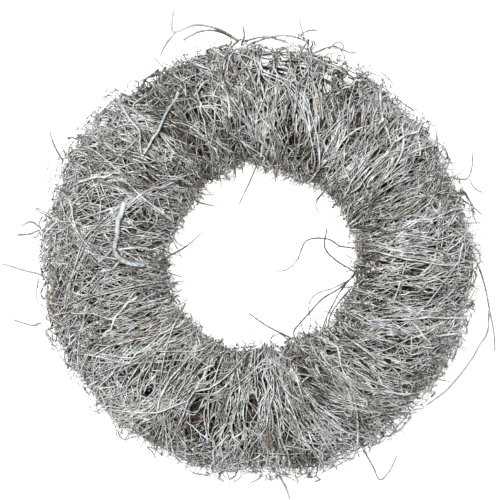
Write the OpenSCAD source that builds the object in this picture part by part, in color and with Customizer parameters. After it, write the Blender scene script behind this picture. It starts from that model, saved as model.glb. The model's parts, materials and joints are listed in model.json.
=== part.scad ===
// Wreath of fine whitewashed twigs wound round a ring-shaped wire frame.
// It lies flat on z = 0, with its axis on +Z and the origin under the frame's centre.
// Each bundle of twigs is wrapped over and under the frame, from the hole to the rim and back.

/* [Wreath] */
// Diameter over the wound twigs, without loose ends
outer_d = 400; // [340:5:480]
// Diameter of the hole in the middle
hole_d = 166; // [130:2:180]
// Height of the wound body, from the table to the top twigs
body_h = 62; // [58:1:76]
// How far the hole sits off the centre to the right, as the bundles are thicker on the left
hole_shift_x = 7; // [0:0.5:8]
// How far the hole sits off the centre to the back
hole_shift_y = 4; // [0:0.5:5]

/* [Wire frame] */
// Thickness of the four ring wires
ring_wire_d = 3; // [2:0.1:4]
// Thickness of the rib wires that join the rings
rib_wire_d = 2; // [1.5:0.1:3]
// Number of ribs above, and as many below
rib_count = 12; // [6:1:24]
// Thickness of the binding wire wound over the bundles
binding_wire_d = 0.8; // [0.4:0.1:0.9]

/* [Twigs] */
// Number of bundles round the ring
bundle_count = 30; // [20:1:34]
// Twigs side by side in one layer of a bundle
twigs_per_layer = 3; // [2:1:3]
// Thickness of the thickest wound twig
twig_d = 2.1; // [1.4:0.1:2.2]
// Thickness of the forked branch at its butt
branch_d = 4.8; // [3:0.1:7]

/* [Hidden] */
bundle_names = [for (i = [1:bundle_count]) str("twig_bundle_", i < 10 ? "0" : "", i)];

$fn = 24;
mid_z = body_h / 2;
twig_r = twig_d / 2;
hole_centre = [hole_shift_x, hole_shift_y];
// The routes of the loose twigs and branches are given for a wreath of this size
routes_outer_d = 400;
routes_body_h = 62;

// The twigs lie in layers, each this far outside the innermost one.
// The binding wire runs between the last two layers.
layer_offset = [0, 2.6, 5.2, 7.8, 11.4];
wire_offset = 9.6;
layer_count = len(layer_offset);
body_depth = layer_offset[layer_count - 1];
// Layers stand this much further apart at the hole and the rim, where they slope, than at the top
edge_spread = 1.3;
// Degrees that a twig of each layer leans from the hole to the rim
layer_lean = [9, -8, 12, -10, 7];
// Layers whose twigs cross the top; the others cross the underside
crosses_top = [true, false, true, false, true];
// Layers whose twigs are bent round the rim or round the hole
bent_at_rim = layer_count - 1;
bent_at_hole = layer_count - 2;
// The bent ends lean the other way, by this share of the twig's lean
end_lean = 1.5;
// Share of the underside that the bent ends cover: its mean, and its change to either side
tuck = 0.35;
tuck_sway = 0.2;
// Twigs of the top and of the underside start at these shares of the space for one twig
top_stagger = 0.25;
under_stagger = 0.75;
// Chance changes of a twig's place and lean, in degrees to either side
azimuth_sway = 0.45;
lean_sway = 1.2;
// Share of the full thickness: its mean, and its change to either side
girth = 0.86;
girth_sway = 0.13;
// The first bent twig of every fifth bundle is a foot, thicker and tucked further under
foot_every = 5;
foot_tuck = 0.6;
// Width kept at the rim for the twigs that run along it
rim_clear = 2.4;
// A bend's knuckle is this much thicker than its rod, and the rods start inside it
knuckle_swell = 1.4;
knuckle_reach = 0.75;

// Wire frame, inside the innermost layer. The rings keep this clear of the twigs, sideways and upwards.
ring_clear = 4.4;
ring_clear_up = 1;
// The ribs end this short of the rings
gap = 0.05;
ring_r = ring_wire_d / 2;
rib_r = rib_wire_d / 2;
hole_shift = norm(hole_centre);
outer_ring_r = outer_d / 2 - rim_clear - twig_r - edge_spread * body_depth - ring_clear;
inner_ring_r = hole_d / 2 + twig_r + edge_spread * body_depth + hole_shift + ring_clear;
middle_ring_r = (outer_ring_r + inner_ring_r) / 2;
frame_rise = body_h / 2 - 2 * twig_r - body_depth - ring_r - ring_clear_up;
rib_rise = frame_rise - ring_r - rib_r - gap;
rib_half = (outer_ring_r - inner_ring_r) / 2 - ring_r - rib_r - gap;

// Twigs along the rim, with their length in degrees and chance changes to either side
rim_twig_count = 9;
rim_twig_d = 1.6;
rim_twig_inset = 1;
rim_twig_span = 29;
rim_twig_span_sway = 6;
rim_twig_height_sway = 7;

// Loose twigs across the top, with chance changes to either side
cross_twig_places = 16;
cross_twig_d = 1.8;
cross_twig_length = 48;
cross_twig_bend_r = 110;
cross_twig_bend_sway = 50;
cross_twig_inset = 3;
cross_twig_place_sway = 6;
cross_twig_turn_sway = 35;
// Places left free for the pale branches
first_branch_place = 6;
last_branch_place = 8;

// Branches lie this far above the wound twigs, loose cross twigs this far
branch_gap = 0.3;
cross_gap = 0.1;
// Thickness of the forked branch's end, and of its side limb's end, as shares of its butt
fork_taper = 0.6;
fork_tip = 0.4;
// The side limb leaves the branch at this share of the way from its knee to its bend
fork_share = 0.6;
straight_twig_d = 3;
bent_twig_d = 2.6;

// Seeds of the chance numbers. Each bundle uses four, one after another.
seeds_per_bundle = 4;
rim_seed = 71;
cross_seed = 81;

wire_grey = [0.42, 0.41, 0.39];
binding_brown = [0.36, 0.27, 0.2];
twig_greys = [[0.6, 0.6, 0.57], [0.68, 0.68, 0.65], [0.52, 0.51, 0.46], [0.63, 0.62, 0.58]];
pale_wash = [0.8, 0.83, 0.84];
stray_grey = [0.55, 0.54, 0.5];

// A chance number from -1 to 1 for each of count places
function chance(count, seed) = rands(-1, 1, count, seed);
function on_circle(radius, azimuth) = radius * [cos(azimuth), sin(azimuth)];
// A route's points, fitted to this wreath's size
function fitted(points) = [
    for (p = points)
        [p[0] * outer_d / routes_outer_d, p[1] * outer_d / routes_outer_d, p[2] * body_h / routes_body_h]
];

// Places where a layer's twigs meet the middle height, at the hole and at the rim
function at_hole(offset, azimuth) =
    hole_centre + on_circle(hole_d / 2 + twig_r + edge_spread * (body_depth - offset), azimuth);
function at_rim(offset, azimuth) =
    on_circle(outer_d / 2 - rim_clear - twig_r - edge_spread * (body_depth - offset), azimuth);
function layer_rise(offset) = body_h / 2 - twig_r - body_depth + offset;
// Radius of the arc that is this high over half its chord
function bend_radius(half, rise) = (half * half + rise * rise) / (2 * rise);

// Round rod bent to an arc that stands upright along the local x axis
module upright_arc(radius, rod_r, from, to) {
    rotate([90, 0, 0])
        flat_arc(radius, rod_r, from, to);
}

// Round rod bent to an arc that lies flat
module flat_arc(radius, rod_r, from, to) {
    rotate([0, 0, from])
        rotate_extrude(angle = to - from)
            translate([radius, 0])
                circle(rod_r);
}

// Rod arched over the line from start to end, short of both by reach rod radii.
// It covers the share of the arch from start that share says.
module arched_rod(start, end, rise, rod_r, reach, share) {
    along = end - start;
    middle = (start + end) / 2;
    half = norm(along) / 2;
    bend_r = bend_radius(half, rise);
    sweep = asin(half / bend_r) - reach * rod_r / bend_r * 180 / PI;
    translate([middle[0], middle[1], mid_z + rise - bend_r])
        rotate([0, 0, atan2(along[1], along[0])])
            upright_arc(bend_r, rod_r, 90 + sweep - 2 * sweep * share, 90 + sweep);
}

// Turns a shape over, about the wreath's middle height
module underside() {
    translate([0, 0, mid_z])
        mirror([0, 0, 1])
            translate([0, 0, -mid_z])
                children();
}

module knuckle(place, rod_r) {
    translate([place[0], place[1], mid_z])
        sphere(knuckle_swell * rod_r);
}

// Twig arched over the top from the hole to the rim
module arched_twig(offset, azimuth, lean, rod_r) {
    arched_rod(at_hole(offset, azimuth - lean / 2), at_rim(offset, azimuth + lean / 2),
               layer_rise(offset), rod_r, 0, 1);
}

// Arched twig bent round the rim, so that its end lies under the body
module rim_bent_twig(offset, azimuth, lean, rod_r, end_share) {
    bend = at_rim(offset, azimuth + lean / 2);
    arched_rod(bend, at_hole(offset, azimuth - lean / 2), layer_rise(offset), rod_r,
               knuckle_reach, 1);
    knuckle(bend, rod_r);
    underside()
        arched_rod(bend, at_hole(offset, azimuth + end_lean * lean), layer_rise(offset), rod_r,
                   knuckle_reach, end_share);
}

// Arched twig bent round the hole's edge, so that its end lies under the body
module hole_bent_twig(offset, azimuth, lean, rod_r, end_share) {
    bend = at_hole(offset, azimuth - lean / 2);
    arched_rod(bend, at_rim(offset, azimuth + lean / 2), layer_rise(offset), rod_r,
               knuckle_reach, 1);
    knuckle(bend, rod_r);
    underside()
        arched_rod(bend, at_rim(offset, azimuth - end_lean * lean), layer_rise(offset), rod_r,
                   knuckle_reach, end_share);
}

// Bundle of separate twigs. The foot of every fifth bundle reaches the table.
module twig_bundle(number) {
    pitch = 360 / bundle_count;
    per_bundle = layer_count * twigs_per_layer;
    seed = number * seeds_per_bundle;
    turn_chance = chance(per_bundle, seed + 1);
    lean_chance = chance(per_bundle, seed + 2);
    girth_chance = chance(per_bundle, seed + 3);
    tuck_chance = chance(per_bundle, seed + 4);
    color(twig_greys[number % len(twig_greys)])
        for (layer = [0:layer_count - 1], i = [0:twigs_per_layer - 1]) {
            k = layer * twigs_per_layer + i;
            foot = layer == bent_at_rim && i == 0 && number % foot_every == 0;
            stagger = crosses_top[layer] ? top_stagger : under_stagger;
            place = number + (i + stagger) / twigs_per_layer;
            azimuth = pitch * place + azimuth_sway * turn_chance[k];
            lean = layer_lean[layer] + lean_sway * lean_chance[k];
            rod_r = foot ? twig_r : twig_r * (girth + girth_sway * girth_chance[k]);
            end_share = foot ? foot_tuck : tuck + tuck_sway * tuck_chance[k];
            if (layer == bent_at_rim)
                rim_bent_twig(layer_offset[layer], azimuth, lean, rod_r, end_share);
            else if (layer == bent_at_hole)
                underside()
                    hole_bent_twig(layer_offset[layer], azimuth, lean, rod_r, end_share);
            else if (crosses_top[layer])
                arched_twig(layer_offset[layer], azimuth, lean, rod_r);
            else
                underside()
                    arched_twig(layer_offset[layer], azimuth, lean, rod_r);
        }
}

module ring_wire(radius, height) {
    color(wire_grey)
        translate([0, 0, height])
            flat_arc(radius, ring_r, 0, 360);
}

module outer_ring_wire() {
    ring_wire(outer_ring_r, mid_z);
}

module inner_ring_wire() {
    ring_wire(inner_ring_r, mid_z);
}

module upper_ring_wire() {
    ring_wire(middle_ring_r, mid_z + frame_rise);
}

module lower_ring_wire() {
    ring_wire(middle_ring_r, mid_z - frame_rise);
}

// Crowned ribs, each from the inner ring wire to the outer one, under the upper ring wire
module rib_set(first_azimuth) {
    for (i = [0:rib_count - 1]) {
        azimuth = first_azimuth + i * 360 / rib_count;
        arched_rod(on_circle(middle_ring_r - rib_half, azimuth),
                   on_circle(middle_ring_r + rib_half, azimuth), rib_rise, rib_r, 0, 1);
    }
}

module upper_rib_wires() {
    color(wire_grey)
        rib_set(0);
}

module lower_rib_wires() {
    color(wire_grey)
        underside()
            rib_set(180 / rib_count);
}

// One long wire, wound once over and once under the body for each bundle
module binding_wire() {
    wire_r = binding_wire_d / 2;
    rise = layer_rise(wire_offset);
    pitch = 360 / bundle_count;
    color(binding_brown)
        for (i = [0:bundle_count - 1]) {
            over = at_hole(wire_offset, pitch * i);
            rim_turn = at_rim(wire_offset, pitch * (i + 0.5));
            back = at_hole(wire_offset, pitch * (i + 1));
            arched_rod(over, rim_turn, rise, wire_r, knuckle_reach, 1);
            knuckle(rim_turn, wire_r);
            if (i > 0)
                knuckle(over, wire_r);
            if (i < bundle_count - 1)
                underside()
                    arched_rod(rim_turn, back, rise, wire_r, knuckle_reach, 1);
        }
}

// Twigs that run along the rim, outside the wound ones
module rim_twigs() {
    span_chance = chance(rim_twig_count, rim_seed);
    height_chance = chance(rim_twig_count, rim_seed + 1);
    color(stray_grey)
        for (i = [0:rim_twig_count - 1]) {
            from = i * 360 / rim_twig_count;
            span = rim_twig_span + rim_twig_span_sway * span_chance[i];
            translate([0, 0, mid_z + rim_twig_height_sway * height_chance[i]])
                flat_arc(outer_d / 2 - rim_twig_inset, rim_twig_d / 2, from, from + span);
        }
}

// Loose twigs that lie across the wound ones on top
module cross_twigs() {
    bend_chance = chance(cross_twig_places, cross_seed);
    place_chance = chance(cross_twig_places, cross_seed + 1);
    turn_chance = chance(cross_twig_places, cross_seed + 2);
    cross_r = cross_twig_d / 2;
    color(pale_wash)
        for (i = [0:cross_twig_places - 1])
            if (i < first_branch_place || i > last_branch_place) {
                azimuth = (i + 0.5) * 360 / cross_twig_places;
                bend_r = cross_twig_bend_r + cross_twig_bend_sway * bend_chance[i];
                half_span = cross_twig_length / 2 * 180 / (PI * bend_r);
                place_r = middle_ring_r - cross_twig_inset + cross_twig_place_sway * place_chance[i];
                centre = on_circle(place_r, azimuth);
                translate([centre[0], centre[1], body_h + cross_r + cross_gap])
                    rotate([0, 0, azimuth + cross_twig_turn_sway * turn_chance[i]])
                        translate([-bend_r, 0, 0])
                            flat_arc(bend_r, cross_r, -half_span, half_span);
            }
}

// Twig or branch of straight tapered lengths, with a swollen knuckle at each bend.
// Each knuckle's seam faces the outer side of its bend, clear of both lengths.
module kinked_twig(route, butt_d, tip_d) {
    points = fitted(route);
    last = len(points) - 1;
    for (i = [0:last - 1]) {
        along = points[i + 1] - points[i];
        d0 = butt_d + (tip_d - butt_d) * i / last;
        d1 = butt_d + (tip_d - butt_d) * (i + 1) / last;
        start = i == 0 ? 0 : knuckle_reach * d0 / 2;
        end = i == last - 1 ? 0 : knuckle_reach * d1 / 2;
        translate(points[i])
            rotate([0, acos(along[2] / norm(along)), atan2(along[1], along[0])])
                translate([0, 0, start])
                    cylinder(h = norm(along) - start - end, d1 = d0, d2 = d1);
        if (i < last - 1) {
            next = points[i + 2] - points[i + 1];
            ahead = along / norm(along) + next / norm(next);
            turns_left = cross([along[0], along[1]], [next[0], next[1]]) > 0;
            translate(points[i + 1])
                rotate([0, 0, atan2(ahead[1], ahead[0]) + (turns_left ? -90 : 90)])
                    sphere(d = d1 * knuckle_swell);
        }
    }
}

// Height at which a rod of some thickness lies on the wound twigs, in the routes' wreath
function lying(thickness) = routes_body_h + thickness / 2 + branch_gap;

module forked_branch() {
    z = lying(branch_d);
    knee = [-124, 26, z + 0.5];
    bend = [-126, 9, z];
    fork = knee + fork_share * (bend - knee);
    color(pale_wash) {
        kinked_twig([[-118, 53, z], knee, bend, [-116, -1, z - 0.4], [-99, -3, z]],
                    branch_d, branch_d * fork_taper);
        kinked_twig([fork, [-134, 6, z + 1], [-141, -2, z]], branch_d * fork_taper, branch_d * fork_tip);
    }
}

module straight_pale_twig() {
    z = lying(straight_twig_d);
    color(pale_wash)
        kinked_twig([[-68, 152, z - 8], [-84, 124, z], [-100, 96, z]], straight_twig_d, 2.2);
}

module bent_pale_twig() {
    z = lying(bent_twig_d);
    color(pale_wash)
        kinked_twig([[-122, 140, z - 14], [-106, 118, z], [-104, 112, z], [-102, 98, z]],
                    bent_twig_d, 2);
}

module stray_twigs_back_left() {
    color(stray_grey) {
        kinked_twig([[-15, 199, 40], [-32, 209, 44], [-54, 213, 46], [-74, 207, 44],
                     [-75, 220, 42], [-73, 230, 41]], 1.8, 1);
        kinked_twig([[-66, 209.4, 44.8], [-80, 199, 42], [-88, 188, 40]], 1.3, 0.9);
        kinked_twig([[-176, 92, 34], [-184, 106, 36], [-187, 118, 37]], 1.4, 0.9);
    }
}

module stray_twigs_back() {
    color(stray_grey) {
        kinked_twig([[-11, 201, 30], [8, 205, 32], [31, 200, 30]], 1.4, 1);
        kinked_twig([[47, 194, 38], [43, 206, 40], [39, 221, 42]], 1.6, 0.9);
        kinked_twig([[52, 192, 26], [70, 198, 28], [84, 193, 27], [93, 192, 26]], 1.5, 1);
    }
}

module stray_twigs_right() {
    color(stray_grey) {
        kinked_twig([[180, 76, 40], [193, 76, 42], [197, 88, 44], [196, 99, 45]], 1.5, 0.9);
        kinked_twig([[187, 76, 41.1], [197, 67, 41], [206, 63, 40]], 1.2, 0.9);
        kinked_twig([[188, 56, 30], [198, 50, 31], [205, 43, 32]], 1.5, 0.9);
        kinked_twig([[198, 8, 36], [206, -18, 40], [211, -44, 42], [215, -64, 41],
                     [216, -81, 40]], 1.8, 1);
    }
}

module stray_twigs_front_right() {
    color(stray_grey) {
        kinked_twig([[211, -44, 42.2], [207, -72, 38], [196, -91, 35], [175, -116, 33],
                     [154, -130, 32]], 1.7, 1.1);
        kinked_twig([[98, -172, 26], [105, -188, 28], [111, -198, 29.5], [116, -199, 30.5],
                     [122, -190, 31], [129, -177, 30]], 1.6, 1);
    }
}

module stray_twigs_front() {
    color(stray_grey) {
        kinked_twig([[-31, -188, 30], [-33, -200, 31]], 1.3, 0.9);
        kinked_twig([[12, -196, 22], [14, -203, 20]], 1.3, 0.9);
        kinked_twig([[20, -194, 36], [26, -207, 38], [29, -218, 38]], 1.5, 0.9);
    }
}

module stray_twigs_left() {
    color(stray_grey) {
        kinked_twig([[-196, 32, 30], [-206, 37, 32], [-216, 33, 34]], 1.4, 1);
        kinked_twig([[-198, 28, 24], [-209, 26, 24], [-221, 24, 25]], 1.4, 0.9);
        kinked_twig([[-196, -14, 34], [-205, -10, 36], [-219, -6, 37], [-233, -3, 38]], 1.6, 0.9);
        kinked_twig([[-198, -55, 29], [-207, -59, 30.5], [-223, -53, 30]], 1.6, 1);
    }
}

outer_ring_wire();
inner_ring_wire();
upper_ring_wire();
lower_ring_wire();
upper_rib_wires();
lower_rib_wires();
binding_wire();
for (i = [1:bundle_count]) twig_bundle(i);
rim_twigs();
cross_twigs();
forked_branch();
straight_pale_twig();
bent_pale_twig();
stray_twigs_back_left();
stray_twigs_back();
stray_twigs_right();
stray_twigs_front_right();
stray_twigs_front();
stray_twigs_left();
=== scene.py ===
"""Looks of a wreath of fine whitewashed twigs wound round a wire frame, seen from straight above.

Every bundle, loose twig and branch of the CAD model gets a piece with many fine twigs in its place.
The frame's wires and the binding wire are the CAD model's own.
"""
import json
import math
from dataclasses import dataclass

import bpy
import numpy as np
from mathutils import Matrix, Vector


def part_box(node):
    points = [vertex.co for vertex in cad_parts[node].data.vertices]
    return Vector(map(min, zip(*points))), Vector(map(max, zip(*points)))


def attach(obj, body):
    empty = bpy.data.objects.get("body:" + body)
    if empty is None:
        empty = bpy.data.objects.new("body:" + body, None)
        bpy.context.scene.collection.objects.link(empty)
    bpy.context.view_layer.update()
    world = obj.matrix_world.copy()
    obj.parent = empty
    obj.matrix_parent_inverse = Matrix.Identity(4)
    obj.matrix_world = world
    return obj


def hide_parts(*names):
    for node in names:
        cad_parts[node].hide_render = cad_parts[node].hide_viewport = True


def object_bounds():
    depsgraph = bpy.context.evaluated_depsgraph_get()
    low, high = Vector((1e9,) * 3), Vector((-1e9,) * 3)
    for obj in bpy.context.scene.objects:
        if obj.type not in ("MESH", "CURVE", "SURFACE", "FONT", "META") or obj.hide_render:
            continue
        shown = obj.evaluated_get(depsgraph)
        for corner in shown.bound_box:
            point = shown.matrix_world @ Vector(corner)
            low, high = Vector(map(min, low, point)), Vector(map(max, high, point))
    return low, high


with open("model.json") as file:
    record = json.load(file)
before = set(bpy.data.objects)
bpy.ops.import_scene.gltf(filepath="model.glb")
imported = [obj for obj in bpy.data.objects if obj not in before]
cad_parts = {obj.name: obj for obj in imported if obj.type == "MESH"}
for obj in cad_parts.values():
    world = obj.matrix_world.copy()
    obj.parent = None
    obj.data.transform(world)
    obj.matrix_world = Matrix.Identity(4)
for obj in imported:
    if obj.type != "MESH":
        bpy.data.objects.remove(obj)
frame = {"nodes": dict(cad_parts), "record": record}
cad_low, cad_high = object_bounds()

MM = 0.001
DEG = math.pi / 180
BAKE_MAP = "OFBake"  # each twig gets its own strip of this map
CLEAR = 0.05 * MM  # the lowest twigs lie this far above the table
LOWEST = 0.7 * MM  # the middle lines of wound and loose twigs stay above this height
LOOK = "look"  # per vertex: how much wash, how light the bark with painted shade deep in the body, how warm the bark, how creamy the wash

# ---------------------------------------------------------------- places from the frame
bundle_nodes = sorted(n for n in frame["nodes"] if n.startswith("twig_bundle_"))
PITCH = 2 * math.pi / len(bundle_nodes)
opening = frame["record"]["physics"]["openings"][0]["box_m"]
hole_x, hole_y, MID_Z = next(
    m["pos_m"] for m in frame["record"]["mounts"] if m["name"] == "centre_opening"
)
HOLE_R = (opening[1][0] - opening[0][0]) / 2 * math.sqrt(2)  # the box's corners touch the hole's edge
RIM_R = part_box("rim_twigs")[1].x - 1.5 * MM
HALF_H = MID_Z - 0.6 * MM
SECTION_POWER = 2.25  # 2 is an ellipse, more is squarer
FREE_AT_HOLE, FREE_AT_RIM = 3.8 * MM, 7.5 * MM  # the wound body leaves this much room for free ends


def node_azimuth(node):
    """Direction from the wreath's middle to a bundle, in radians."""
    low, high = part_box(node)
    middle = (low + high) / 2
    return math.atan2(middle.y, middle.x)


# Where the edges stand out from the axis or draw in: azimuth and reach in degrees, distance in millimetres
HOLE_BULGES = [
    (35, 9, 5), (60, 6, -5), (95, 9, 8), (155, 14, -9), (237, 14, 5), (272, 6, -6), (308, 12, -6)]
RIM_BULGES = [
    (20, 7, -4), (75, 14, 4), (103, 7, 5), (120, 6, -5), (225, 15, -3), (268, 9, -5), (325, 9, 4),
    (355, 8, 5)]


def turned_from(azimuth, degrees):
    """Angle from a direction given in degrees to an azimuth, between -pi and pi."""
    return (azimuth - degrees * DEG + math.pi) % (2 * math.pi) - math.pi


def bulge(azimuth, bulges):
    """How far an edge stands out at an azimuth."""
    total = np.zeros_like(azimuth)
    for degrees, reach, push in bulges:
        total += push * MM * np.exp(-((turned_from(azimuth, degrees) / (reach * DEG)) ** 2))
    return total


def hole_edge(azimuth):
    """Distance from the axis to the edge of the hole, which is a little uneven."""
    shift = hole_x * np.cos(azimuth) + hole_y * np.sin(azimuth)
    uneven = 3.5 * np.cos(azimuth - 225 * DEG) - 2.5 * np.cos(2 * azimuth - 150 * DEG)
    ripple = 1.6 * np.sin(7 * azimuth + 1) + 1.2 * np.sin(11 * azimuth + 4)
    return HOLE_R + FREE_AT_HOLE + shift + (uneven + ripple) * MM + bulge(azimuth, HOLE_BULGES)


def rim_edge(azimuth):
    """Distance from the axis to the outer edge of the wound twigs."""
    uneven = 1.5 * np.sin(3 * azimuth + 0.6) + 1.3 * np.sin(5 * azimuth + 2)
    ripple = 1.1 * np.sin(13 * azimuth) + 0.8 * np.sin(19 * azimuth + 1.5)
    return RIM_R - FREE_AT_RIM + (uneven + ripple) * MM + bulge(azimuth, RIM_BULGES)


def section_curve(share):
    """Turns a circle's cosine or sine into that of the body's squarer section."""
    return np.sign(share) * np.abs(share) ** (2 / SECTION_POWER)


def in_section(azimuth, turn, depth):
    """Distance from the axis and height of places in the wound body's section.

    Turn goes round the section: 0 at the rim, pi/2 on top, pi at the hole.
    Depth is 1 on the surface and 0 in the middle.
    """
    inner, outer = hole_edge(azimuth), rim_edge(azimuth)
    radius = (inner + outer) / 2 + (outer - inner) / 2 * depth * section_curve(np.cos(turn))
    return radius, MID_Z + HALF_H * depth * section_curve(np.sin(turn))


def round_axis(azimuth, radius, height):
    """Points at an azimuth, a distance from the axis and a height."""
    return np.stack([radius * np.cos(azimuth), radius * np.sin(azimuth), height], -1)


def on_body(azimuth, turn, depth):
    """Points in the wound body, all of them above the table."""
    radius, height = in_section(azimuth, turn, depth)
    return round_axis(azimuth, radius, np.maximum(height, LOWEST))


def section_middle(points):
    """Middle of the wound body's section at each point's azimuth."""
    azimuth = np.arctan2(points[..., 1], points[..., 0])
    radius = (hole_edge(azimuth) + rim_edge(azimuth)) / 2
    return round_axis(azimuth, radius, np.full_like(radius, MID_Z))


def depth_in_body(points):
    """1 on the wound body's surface, 0 in the middle of its section."""
    azimuth = np.arctan2(points[..., 1], points[..., 0])
    inner, outer = hole_edge(azimuth), rim_edge(azimuth)
    radius = np.hypot(points[..., 0], points[..., 1])
    across = np.abs(radius - (inner + outer) / 2) / ((outer - inner) / 2)
    upward = np.abs(points[..., 2] - MID_Z) / HALF_H
    return (across**SECTION_POWER + upward**SECTION_POWER) ** (1 / SECTION_POWER)


def smooth_step(share):
    """Goes from 0 to 1 without corners as the share does."""
    share = np.clip(share, 0, 1)
    return share * share * (3 - 2 * share)


def unit(vectors):
    """The vectors at length 1."""
    return vectors / np.maximum(np.linalg.norm(vectors, axis=-1, keepdims=True), 1e-9)


# ---------------------------------------------------------------- gaps between the twigs
# Azimuth in degrees, then in millimetres: distance from the axis, half length along the radius, half width
SEE_THROUGH_GAPS = [
    (86.8, 177, 14, 6), (82.2, 178, 13, 6), (76.5, 174, 10, 6), (68.3, 171, 11, 6.5), (63, 184, 9, 5.5)]
DARK_GAPS = [
    (12, 165, 10, 2.5), (28, 128, 13, 3), (46, 160, 10, 2.5), (65, 138, 12, 3), (100, 122, 12, 2.5),
    (108, 156, 14, 4), (112, 150, 14, 3), (136, 132, 10, 3), (141, 118, 13, 3.5), (158, 172, 9, 3),
    (175, 108, 11, 3), (204, 150, 12, 2.5), (228, 168, 10, 3), (230, 150, 9, 4), (244, 112, 9, 2.5),
    (246.7, 136, 14, 5.5), (248, 103, 14, 4.5), (267.2, 186, 5, 4), (268, 134, 17, 7),
    (272.5, 186, 5, 5), (301, 112, 10, 3), (311, 105, 5, 9), (318, 124, 12, 3), (334, 160, 10, 3),
    (350, 136, 14, 2.5)]
SMALL_GAP_COUNT = 60
EYE_HEIGHT = 1.27  # the gaps are looked through from about this far above the wreath, in metres


def small_gaps(rng, count):
    """Narrow gaps all over the body."""
    spans = ((0, 360), (96, 182), (6, 13), (1.4, 2.8))
    return list(zip(*(rng.uniform(low, high, count) for low, high in spans)))


SMALL_GAPS = small_gaps(np.random.default_rng(5), SMALL_GAP_COUNT)


def splay(height):
    """Gaps lean away from the axis towards the table, so that they can be looked through from above."""
    return 1 + (2 * MID_Z - height) / EYE_HEIGHT


def part_round(azimuth, turn, depth, gaps, stays):
    """Bends each twig round one side of every gap, except those that stay and cross them."""
    radius, height = in_section(azimuth, turn, depth)
    for degrees, distance, half_length, half_width in gaps:
        across = turned_from(azimuth, degrees) * radius / (half_width * MM)
        along = (radius - distance * MM * splay(height)) / (half_length * MM)
        room = np.sqrt(np.clip(1 - along**2, 0, 1))
        side = np.where((across * room).sum(-1, keepdims=True) < 0, -1, 1)
        short = (room - side * across).clip(0, 2) * (room > 0) * (np.abs(across) < 2) * ~stays
        azimuth = azimuth + side * short * half_width * MM / radius
    return azimuth


def in_gaps(paths, gaps):
    """Whether each path passes over a gap."""
    azimuth = np.arctan2(paths[..., 1], paths[..., 0])
    radius = np.hypot(paths[..., 0], paths[..., 1])
    inside = np.zeros(paths.shape[:-1], bool)
    for degrees, distance, half_length, half_width in gaps:
        across = turned_from(azimuth, degrees) * radius / (half_width * MM)
        along = (radius - distance * MM * splay(paths[..., 2])) / (half_length * MM)
        inside |= np.hypot(across, along) < 1
    return inside.any(-1)


# ---------------------------------------------------------------- twig paths
def waves(rng, rows, knots, points, amount):
    """Smooth chance waves, one row for each twig."""
    heights = rng.normal(size=(rows, knots))
    at = np.linspace(0, knots - 1, points)
    left = np.minimum(at.astype(int), knots - 2)
    share = smooth_step(at - left)
    return amount * (heights[:, left] * (1 - share) + heights[:, left + 1] * share)


def kinks(rng, rows, knots, points, amount):
    """Chance bends: straight lengths that change direction at a few places. Amount is the slope's spread."""
    slopes = rng.normal(0, amount, (rows, knots))
    at = np.linspace(0, knots - 0.001, points)[None, :] + rng.uniform(-0.4, 0.4, (rows, 1))
    at = at.clip(0, knots - 1)
    path = np.cumsum(np.take_along_axis(slopes, at.astype(int), 1), 1) / points
    return path - path.mean(1, keepdims=True)


TIP_SHARE = 0.45  # of a twig's radius at its butt is left near the tip


def thickness(rng, rows, points, butt):
    """Radius along each twig: it thins towards the tip and swells a little at its buds."""
    along = np.linspace(0, 1, points)
    radii = butt[:, None] * (1 - (1 - TIP_SHARE) * along)
    radii = radii * (1 + 0.16 * rng.normal(size=(rows, points)).clip(-1.2, 1.8))
    radii[:, -1] *= 0.45
    return radii


# How the tufts of a region lean, in degrees: azimuth, the region's reach, the lean and its extra spread
LEANS = [(140, 28, 10, 14), (185, 25, 0, 6), (315, 32, 12, 0), (225, 25, -12, 3), (50, 30, 8, 0)]


def common_lean(azimuth):
    """Mean lean of the tufts at an azimuth and its extra spread, in degrees."""
    mean, extra = 4, 0
    for degrees, reach, lean, spread in LEANS:
        off = (math.degrees(azimuth) - degrees + 180) % 360 - 180
        share = math.exp(-((off / reach) ** 2))
        mean += lean * share
        extra += spread * share
    return mean, extra


# Where tufts lie: mean turn and its spread, least and greatest half span, in degrees
OVER = (86, 20, 50, 84)
AT_RIM = (22, 20, 28, 50)
AT_HOLE = (158, 12, 26, 42)

SECTION_ARM = 50 * MM  # a twig's length for each radian it turns round the section
RING_ARM = 130 * MM  # its length for each radian it goes round the ring
HALF_WIDTH = 1.16  # half the width of the wound body, in section arms
TUFT_LEAN, TWIG_LEAN, MOST_LEAN = 11, 8, 62  # degrees
WILD_SHARE, WILD_LEAN = 0.1, 2.5  # this share of the tufts leans this many times as much
BOW, KINK = 7 * MM, 18 * MM
OVERLAP = 1.15  # each bundle's tufts start from this many times its own width
TURN_SPREAD = 15  # degrees by which a tuft's twigs are laid apart round the section
BUTTS_AT_HOLE = 0.6  # of the twigs have their thick end nearer the hole
SPAN_POINTS = 18


def sideways(rng, tuft, lean, extra, turn):
    """How far each twig strays to the side of its tuft's middle line."""
    rows, points = turn.shape
    slant = (lean[tuft] + rng.normal(0, TWIG_LEAN + extra / 2, rows)).clip(-MOST_LEAN, MOST_LEAN)
    away = np.tan(slant * DEG)[:, None] * np.cos(turn) * HALF_WIDTH * SECTION_ARM
    bow = rng.normal(0, BOW, tuft.max() + 1)[tuft] + rng.normal(0, 0.6 * BOW, rows)
    away = away + bow[:, None] * np.sin(turn)
    away = away + rng.normal(0, 1, rows)[:, None] * (1.7 + 1.5 * np.cos(turn)) * MM
    away = away + waves(rng, rows, 4, points, 1.5 * MM) + waves(rng, rows, 9, points, 0.3 * MM)
    return away + kinks(rng, rows, 7, points, KINK)


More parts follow.
